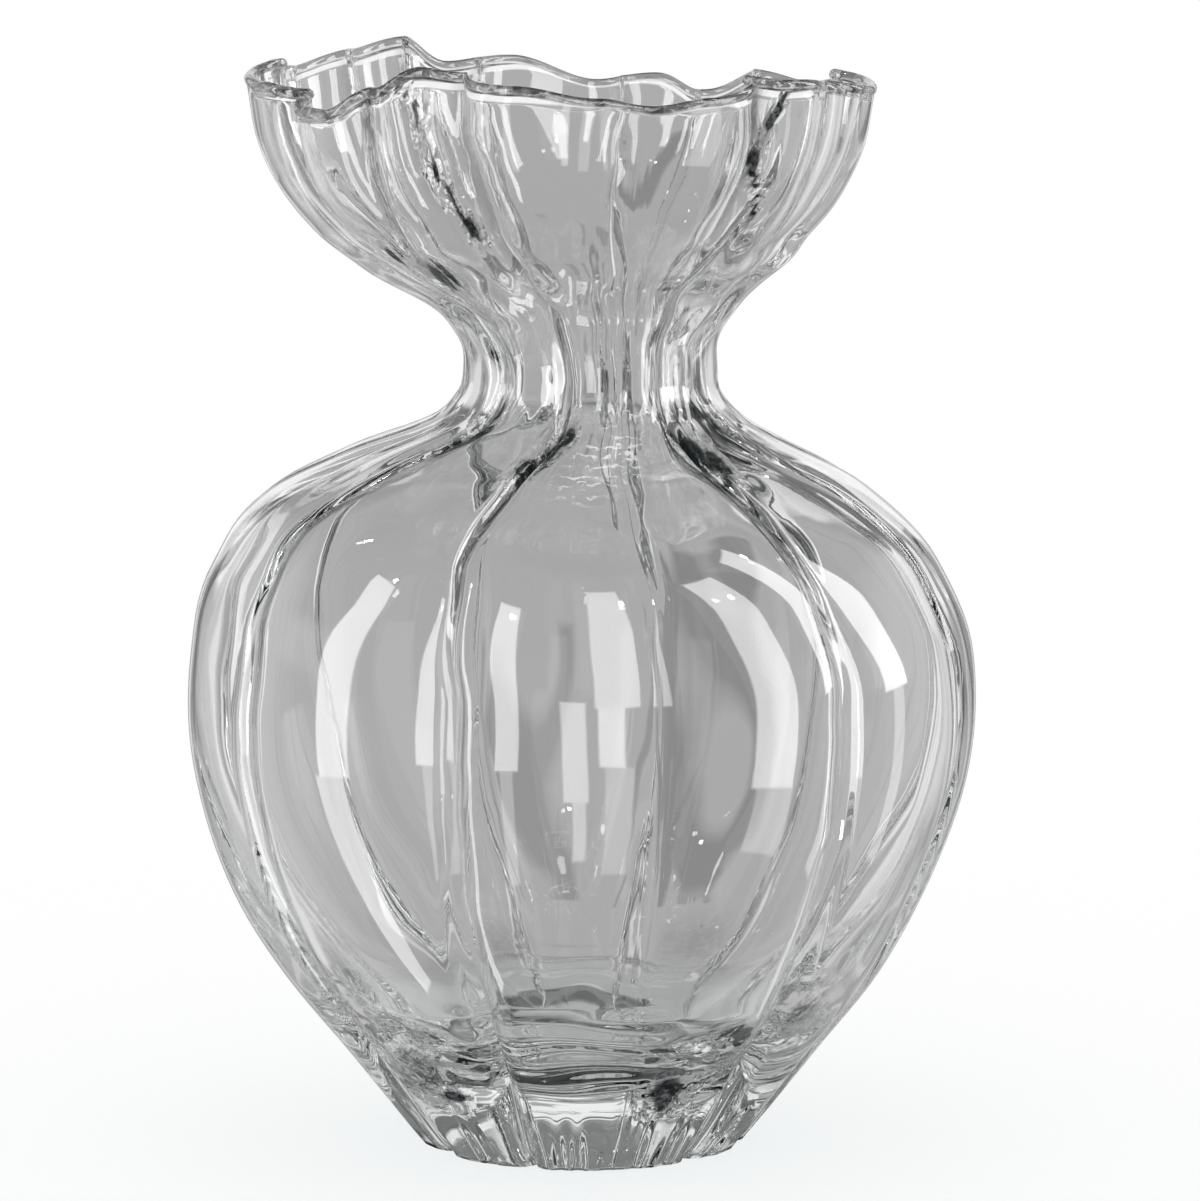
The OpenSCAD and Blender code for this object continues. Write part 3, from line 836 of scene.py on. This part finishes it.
def patch(middle, half_width, low, high, edge):
    """1 inside a rectangle of the room, and 0 outside, with soft edges."""
    sides = (half_width - abs(azimuth - middle)) / edge
    ends = ((high - low) / 2 - abs(elevation - (low + high) / 2)) / edge
    return start.node("ShaderNodeClamp", inputs={0: start.math("MINIMUM", sides, ends) + 0.5})


world = bpy.data.worlds.new("studio")
world.use_nodes = True
world.node_tree.nodes.clear()
scene.world = world
start = Wire(world.node_tree)
ray = start.node("ShaderNodeTexCoord", output="Generated")
parts = start.node("ShaderNodeSeparateXYZ", inputs={0: ray})
x, y, z = (parts.output(name) for name in "XYZ")
azimuth = start.math("ARCTAN2", x, 0 - y) * DEGREES
elevation = start.math("ARCSINE", z) * DEGREES
aside = abs(azimuth)
upper = ramp(elevation, *LOW_ENDS, LOW_SHARE, 1.0)

room = ramp(elevation, *BELOW_ENDS, BELOW, BEHIND)
for field, strength in (
    (between(elevation, *BAND_ENDS), BAND),
    (between(elevation, *SEAM_ENDS), CARDS),
    (ramp(aside, *FORE_ENDS), FORE),
    (between(aside, *SIDES_ENDS), SIDES),
    (between(aside, *CARDS_ENDS) * upper, CARDS),
    (between(aside, *STRIPS_ENDS) * upper, STRIPS),
    (ramp(elevation, *CEILING_ENDS), CEILING),
):
    room = laid_over(room, field, strength)
seen_through = start.node("ShaderNodeLightPath", output="Is Transmission Ray")
glimpsed = seen_through * (GLIMPSE - SHINE) + SHINE
for middle, half_width, low, high, strength in WINDOWS:
    room = room + patch(middle, half_width, low, high, WINDOW_EDGE) * glimpsed * strength
for middle, half_width, low, high, edge, strength in DARK_CARDS:
    room = room - patch(middle, half_width, low, high, edge) * strength
for middle, level, radius, strength in LAMPS:
    room = room + patch(middle, radius, level - radius, level + radius, LAMP_EDGE) * strength
white_room = start.node("ShaderNodeBackground", inputs={0: (1, 1, 1, 1), 1: 1.0})
grey_room = start.node("ShaderNodeBackground", inputs={0: (1, 1, 1, 1), 1: room})
sky = start.node(
    "ShaderNodeMixShader",
    inputs={0: either_ray(start, "Transmission", "Glossy"), 1: white_room, 2: grey_room},
)
start.node("ShaderNodeOutputWorld", inputs={"Surface": sky})


# The camera: at the height and distance that the photograph's foot and rim ovals give, looking
# a little down. The vase stands slightly left of the picture's middle. Rays may bounce often,
# because each passes several walls of glass.

EYE_DISTANCE = 1.6
EYE_Z = 0.384
AIM = (0.0044, 0, 0.13876)
PICTURE_ANGLE = math.radians(10.798)
SENSOR_H = 24
BOUNCES = 24

camera_data = bpy.data.cameras.new("camera")
camera_data.sensor_fit = "VERTICAL"
camera_data.sensor_height = SENSOR_H
camera_data.lens = SENSOR_H / 2 / math.tan(PICTURE_ANGLE / 2)
camera = bpy.data.objects.new("camera", camera_data)
camera.location = (AIM[0], -EYE_DISTANCE, EYE_Z)
camera.rotation_euler = (math.pi / 2 - math.atan2(EYE_Z - AIM[2], EYE_DISTANCE), 0, 0)
scene.collection.objects.link(camera)
scene.camera = camera
scene.view_settings.view_transform = "Standard"
scene.cycles.caustics_refractive = False
scene.cycles.caustics_reflective = False
scene.cycles.max_bounces = BOUNCES
scene.cycles.transmission_bounces = BOUNCES
scene.cycles.glossy_bounces = BOUNCES
